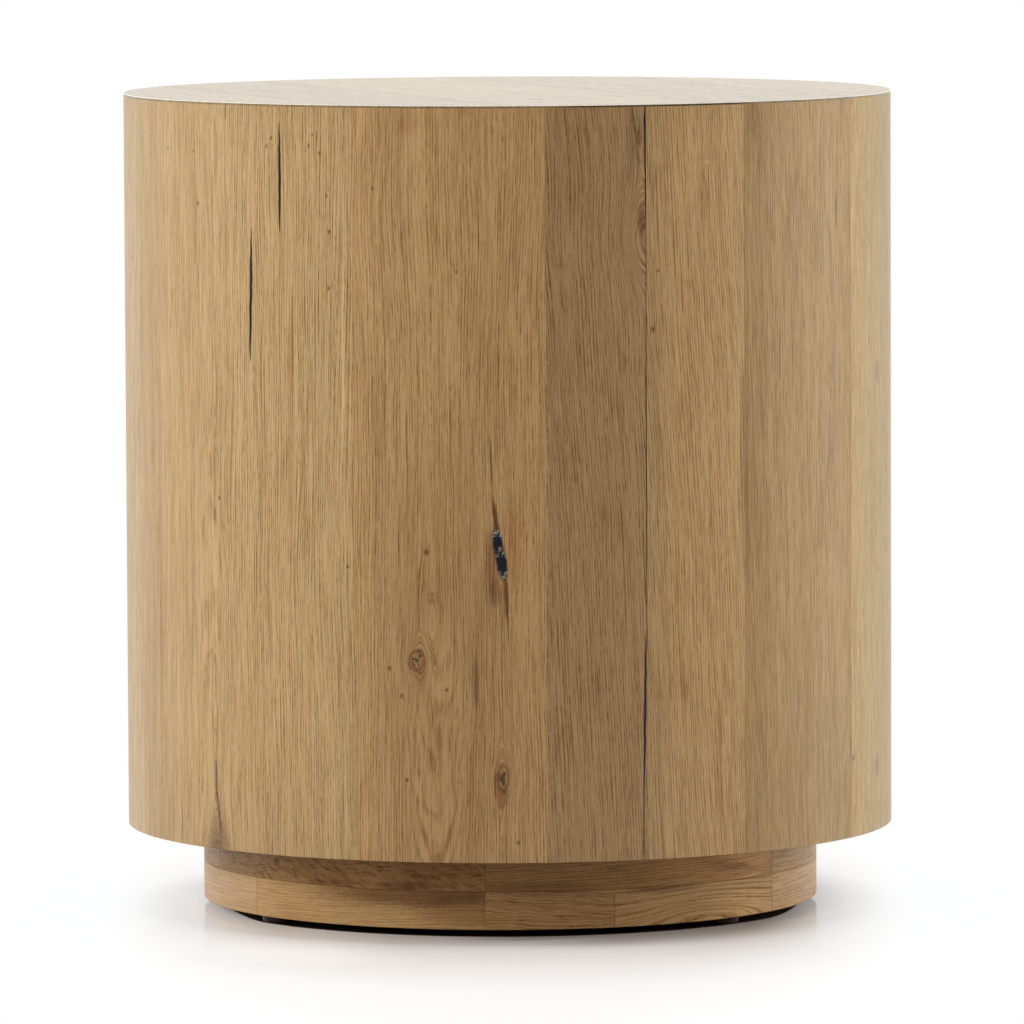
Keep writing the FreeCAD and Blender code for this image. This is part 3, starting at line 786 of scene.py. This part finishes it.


# The upper course's tones are darker than the lower course's. Bearings are as for the side leaves, with a
# level in place of a depth, so a spot's first half size is upright and its second level.
PLINTH_BOARDS = {
    "upper": [
        dict(tone=(0.322, 0.164, 0.051), sway=20, curl=9, mottle=2.1,
             knots=[(-48.5, 47, 2.6, 3.0)],
             tints=[(-20, 36, 4, 22, 0.03, (0.60, 0.50, 0.42)), (-64, 48, 6, 30, (0.85, 0.82, 0.80)),
                    (-34, 36, 3, 26, 0.03, (0.70, 0.62, 0.55)), (-14, 47, 11, 40, (0.84, 0.74, 0.62))]),
        dict(tone=(0.340, 0.174, 0.056), slope=0.03,
             tints=[(5, 36, 5, 60, (0.72, 0.66, 0.60)), (42, 47, 18, 76, (1.26, 1.24, 1.24)),
                    (46, 43, 3.5, 26, -0.14, (0.66, 0.62, 0.58)), (51, 47, 18, 34, (1.32, 1.36, 1.42))]),
        dict(tone=(0.442, 0.255, 0.106), slope=-0.03),
        dict(tone=(0.330, 0.174, 0.059), curl=5, mottle=0.8, knots=[(136, 45, 3.0, 4.0)]),
        dict(tone=(0.360, 0.196, 0.070), slope=0.02),
        dict(tone=(0.372, 0.208, 0.078), sway=20, mottle=0.7),
    ],
    "lower": [
        dict(tone=(0.550, 0.315, 0.125), slope=0.02, contrast=0.65,
             tints=[(-54, 20, 20, 24, (1.07, 1.08, 1.12)), (-16, 31, 11, 92, 0.03, (0.46, 0.39, 0.32)),
                    (-8, 20, 14, 44, (0.68, 0.61, 0.54))]),
        dict(tone=(0.424, 0.230, 0.084), curl=4, slope=-0.04, mottle=0.35,
             tints=[(6, 33, 5, 44, (0.80, 0.76, 0.72))]),
        dict(tone=(0.446, 0.250, 0.096), ring=4.4, figure=0.55, swirls=[(38, 3, 13, 60)],
             tints=[(30, 32, 4, 34, (0.66, 0.60, 0.54)), (48, 16, 12, 34, (1.16, 1.17, 1.18))]),
        dict(tone=(0.492, 0.294, 0.131), ring=2.8, contrast=0.8),
        dict(tone=(0.480, 0.268, 0.104), slope=0.03),
        dict(tone=(0.520, 0.296, 0.116), arches=[(186, 18, 11, 60, 30, 3.0)]),
        dict(tone=(0.460, 0.256, 0.098), slope=-0.02),
        dict(tone=(0.585, 0.358, 0.170), ring=2.8, contrast=0.55),
    ],
}

for course, seams in PLINTH_SEAMS.items():
    for number, (low, high) in enumerate(zip(seams, seams[1:]), start=1):
        node = f"{course}_plinth_segment_{number}"
        base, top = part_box(node)[0].z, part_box(node)[1].z
        board = dict(PLINTH_BOARDS[course][number - 1], seed=90 + number * 3.7 + len(seams))
        middle = (low + high) / 2
        finish = oak(f"{course}_plinth_oak_{number}", lambda tree: plinth_place(tree, middle),
                     plinth_at(middle), board, gloss=PLINTH_GLOSS)
        width = math.radians(high - low) * PLINTH_RADIUS
        segment = make_piece(f"{course}_course_{number}", board_tree, from_bearing=math.radians(low),
                             to_bearing=math.radians(high), inner_radius=PLINTH_BORE,
                             outer_radius=PLINTH_RADIUS, base=base, top=top, arris=PLINTH_ARRIS,
                             columns=round(width / PLINTH_STEP) + 1, rows=PLINTH_ROWS, finish=finish)
        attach(segment, "root")
        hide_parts(node)

# Glides: four round pads of glossy dark brown plastic, each moulded round
# the head of its nail, with a rounded lower edge that slides on the
# floor. They were nailed on by hand, so they don't stand quite evenly.
GLIDE_RADIUS = 13 * MM
GLIDE_ROUNDING = 2 * MM
GLIDE_BEARINGS = (-52, 46, 134, 232)
GLIDE_INSET = 14 * MM
GLIDE_PITCH_RADIUS = PLINTH_RADIUS - GLIDE_INSET
GLIDE_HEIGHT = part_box("glide_pads")[1].z
GLIDE_COLUMNS = 65
GLIDE_ROWS = 41
PLASTIC_DARK = (0.022, 0.011, 0.010)
PLASTIC_PALE = (0.034, 0.017, 0.015)


def turned_pads_tree():
    """The rule for round pads turned from one profile and set out at their bearings on a circle."""
    bearings = [f"Bearing {number}" for number in range(1, len(GLIDE_BEARINGS) + 1)]
    lengths = ("Radius", "Height", "Rounding", "Pitch radius", *bearings)
    tree, size = start_tree("Turned pads", lengths)
    sheet = add_node(tree, "GeometryNodeMeshGrid", 1, 1, GLIDE_COLUMNS, GLIDE_ROWS)
    share_round, share_along = corner_shares(tree)[:2]
    # The profile takes four steps: the flat base, the rounding, the wall and the flat top
    turn, step = share_round * (2 * math.pi), share_along * 4
    base, arc, wall, lid = [(step - start).maths("MAXIMUM", 0).maths("MINIMUM", 1) for start in range(4)]
    swing = arc * (math.pi / 2)
    flat = size["Radius"] - size["Rounding"]
    radius = flat * base + size["Rounding"] * swing.maths("SINE") - size["Radius"] * lid
    level = size["Rounding"] * (-swing.maths("COSINE") + 1) + (size["Height"] - size["Rounding"]) * wall
    place = add_node(tree, "ShaderNodeCombineXYZ", radius * turn.maths("COSINE"),
                     radius * turn.maths("SINE"), level)
    turned = add_node(tree, "GeometryNodeSetPosition", sheet.outputs["Mesh"], None, place.outputs[0])
    welded = weld(tree, turned.outputs[0])
    pads = tree.nodes.new("GeometryNodeJoinGeometry")
    for title in bearings:
        spot = add_node(tree, "ShaderNodeCombineXYZ", size["Pitch radius"] * size[title].maths("SINE"),
                        -(size["Pitch radius"] * size[title].maths("COSINE")), 0)
        pad = add_node(tree, "GeometryNodeTransform", welded)
        tree.links.new(spot.outputs[0], pad.inputs["Translation"])
        tree.links.new(pad.outputs[0], pads.inputs[0])
    return close_tree(tree, pads.outputs[0], size["Finish"])


def glide_plastic():
    """Moulded plastic: glossy and very dark, with a faint mould texture."""
    material, tree, shader = new_finish("glide_plastic", Specular_IOR_Level=0.2)
    x, y, z = object_place(tree)
    grain = noise(tree, x / 0.8, (y + z) / 0.8, 1.0)
    feed(shader.inputs["Base Color"], blend(tree, grain, PLASTIC_DARK, PLASTIC_PALE))
    feed(shader.inputs["Roughness"], grain * 0.1 + 0.16)
    return material


turns = {f"bearing_{number}": math.radians(bearing) for number, bearing in enumerate(GLIDE_BEARINGS, 1)}
pads = make_piece("round_glide_pads", turned_pads_tree(), radius=GLIDE_RADIUS, height=GLIDE_HEIGHT,
                  rounding=GLIDE_ROUNDING, pitch_radius=GLIDE_PITCH_RADIUS, finish=glide_plastic(),
                  **turns)
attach(pads, "root")
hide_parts("glide_pads")

# The room: a pale floor that runs on to a white backdrop, soft lamps all round and overhead, and a camera
# a little above the table's top, seven metres away.
FLOOR_REACH = 60.0
FLOOR_PAINTED_SHADOW = (0.03, 0.02, 0.02)
FLOOR_PAINTED_SHADE = (0.56, 0.53, 0.51)
FLOOR_PALE = (1.125, 1.105, 1.095)
FLOOR_PAINTED_LIGHT = (1.38, 1.375, 1.38)
FLOOR_GREY = (0.50, 0.50, 0.50, 1)
FLOOR_POLISH = 0.06
MIRROR_TINT = (0.92, 0.955, 0.965, 1)
WHITE = (1, 1, 1, 1)
ROOM_LIGHT = 0.03


def mirror_white(behind):
    """How bright a glossy surface sees the room: white behind the table, and dim in front of it."""
    return behind.rise(-0.35, 0.5) * 0.95 + 0.05


def room_floor():
    """White floor paint with a slight gloss, and painted shadow, shade and light round the table. The
    camera sees it white where the table casts no shade.
    """
    material = bpy.data.materials.new("floor_paint")
    material.use_nodes = True
    tree = material.node_tree
    tree.nodes.clear()
    path = add_node(tree, "ShaderNodeLightPath").outputs
    x, y = object_place(tree)[:2]
    radius = (x * x + y * y) ** 0.5
    plain = add_node(tree, "ShaderNodeBsdfDiffuse", FLOOR_GREY)
    # A black painted shadow lies under the plinth, and painted light pushes it back at both ends, where
    # light comes in from the sides. Beside it the floor turns white. All the distances are in millimetres.
    painted_light_inset = (-x).rise(180, 212) * 13 + x.rise(190, 228) * 14
    paint = (radius + painted_light_inset).rise(PLINTH_RADIUS / MM - 3, PLINTH_RADIUS / MM + 1)
    # Painted shade: a contact shadow along the plinth's front, and a shadow in front of it that reaches
    # further towards the right
    painted_contact_shadow = radius.rise(268, 238) * x.rise(-60, 20)
    painted_shade = (x.rise(-10, 90) * x.rise(270, 170) * radius.rise(320, 240)).maths("MAXIMUM", painted_contact_shadow)
    pale = blend(tree, painted_shade * 0.85, FLOOR_PALE, FLOOR_PAINTED_SHADE)
    # Painted light: the floor is paler to the left of the plinth, as if more light fell there
    painted_light_left = (-x).rise(70, 150) * (-x).rise(265, 195) * radius.rise(430, 330)
    pale = blend(tree, painted_light_left, pale, FLOOR_PAINTED_LIGHT)
    near = add_node(tree, "ShaderNodeBsdfDiffuse", blend(tree, paint, FLOOR_PAINTED_SHADOW, pale))
    reach = ((x * 1.6) ** 2 + (y * 0.61) ** 2) ** 0.5
    white = add_node(tree, "ShaderNodeEmission", WHITE, 1.0)
    far = reach.rise(285, 500) * paint
    shown = add_node(tree, "ShaderNodeMixShader", far, near.outputs[0], white.outputs[0])
    watched = Amount(path["Is Camera Ray"]).maths("MAXIMUM", Amount(path["Is Glossy Ray"]))
    matt = add_node(tree, "ShaderNodeMixShader", watched, plain.outputs[0], shown.outputs[0])
    gloss = add_node(tree, "ShaderNodeBsdfGlossy", WHITE)
    gloss.inputs["Roughness"].default_value = FLOOR_POLISH
    shine = radius.rise(520, 240) * 0.10 + radius.rise(345, 225) * 0.15
    both = add_node(tree, "ShaderNodeMixShader", shine, matt.outputs[0], gloss.outputs[0])
    # Far behind, a glossy surface sees the floor run on into the white backdrop
    backdrop = add_node(tree, "ShaderNodeEmission", MIRROR_TINT, mirror_white(y / radius))
    mirrored = Amount(path["Is Glossy Ray"]) * radius.rise(900, 1600)
    seen = add_node(tree, "ShaderNodeMixShader", mirrored, both.outputs[0], backdrop.outputs[0])
    add_node(tree, "ShaderNodeOutputMaterial", seen.outputs[0])
    return material


corners = [(x * FLOOR_REACH, y * FLOOR_REACH, 0) for x, y in ((-1, -1), (1, -1), (1, 1), (-1, 1))]
mesh = bpy.data.meshes.new("floor")
mesh.from_pydata(corners, [], [(0, 1, 2, 3)])
mesh.materials.append(room_floor())
floor = bpy.data.objects.new("floor", mesh)
bpy.context.scene.collection.objects.link(floor)

world = bpy.data.worlds.new("room")
world.use_nodes = True
bpy.context.scene.world = world
tree = world.node_tree
tree.nodes.clear()
path = add_node(tree, "ShaderNodeLightPath").outputs
towards = add_node(tree, "ShaderNodeTexCoord").outputs["Generated"]
behind = Amount(add_node(tree, "ShaderNodeSeparateXYZ", towards).outputs[1])
camera_light = add_node(tree, "ShaderNodeBackground", WHITE, 1.0)
room_light = add_node(tree, "ShaderNodeBackground", WHITE, ROOM_LIGHT)
mirrored = Amount(path["Is Glossy Ray"]).maths("MAXIMUM", Amount(path["Is Transmission Ray"]))
gloss_light = add_node(tree, "ShaderNodeBackground", MIRROR_TINT, mirror_white(behind))
room_seen = add_node(tree, "ShaderNodeMixShader", mirrored, room_light.outputs[0], gloss_light.outputs[0])
all_seen = add_node(tree, "ShaderNodeMixShader", Amount(path["Is Camera Ray"]), room_seen.outputs[0],
                    camera_light.outputs[0])
add_node(tree, "ShaderNodeOutputWorld", all_seen.outputs[0])

# Each panel: its bearing from the front, its height as an
# angle, and its watts. All face the drum's middle.
LAMP_DISTANCE = 2.6
LAMP_SIZE = 1.4
AIM_HEIGHT = 0.3
LAMPS = {
    "left_panel": (-90, 13, 26),
    "left_front_panel": (-45, 13, 20.5),
    "front_panel": (0, 40, 7.8),
    "right_front_panel": (45, 10, 3.7),
    "right_panel": (90, 10, 37),
    "back_panel": (180, 10, 10),
    "high_back_panel": (180, 40, 25),
    "overhead_panel": (0, 90, 33),
}
aim = Vector((0, 0, AIM_HEIGHT))
for name, (bearing, rise, watts) in LAMPS.items():
    lamp = bpy.data.lights.new(name, "AREA")
    lamp.size, lamp.energy = LAMP_SIZE, watts
    turn, rise = math.radians(bearing), math.radians(rise)
    holder = bpy.data.objects.new(name, lamp)
    towards = Vector((math.sin(turn) * math.cos(rise), -math.cos(turn) * math.cos(rise), math.sin(rise)))
    holder.location = aim + LAMP_DISTANCE * towards
    holder.rotation_euler = (aim - holder.location).to_track_quat("-Z", "Y").to_euler()
    holder.visible_glossy = False
    bpy.context.scene.collection.objects.link(holder)

# The camera: a long lens a little above the table, tilted down and rolled by a hair.
CAMERA_PLACE = (0.0024, -7.1642, 0.8815)
CAMERA_TILT = 4.698
CAMERA_ROLL = -0.25
CAMERA_LENS = 335.75
CAMERA_SENSOR = 36
CAMERA_REACH = 100
camera = bpy.data.objects.new("camera", bpy.data.cameras.new("camera"))
camera.data.lens = CAMERA_LENS
camera.data.sensor_width = CAMERA_SENSOR
camera.data.clip_end = CAMERA_REACH
tilt = Matrix.Rotation(math.radians(90 - CAMERA_TILT), 4, "X")
roll = Matrix.Rotation(math.radians(CAMERA_ROLL), 4, "Z")
camera.matrix_world = Matrix.Translation(CAMERA_PLACE) @ tilt @ roll
bpy.context.scene.collection.objects.link(camera)
bpy.context.scene.camera = camera
bpy.context.scene.view_settings.view_transform = "Standard"

bpy.context.view_layer.update()
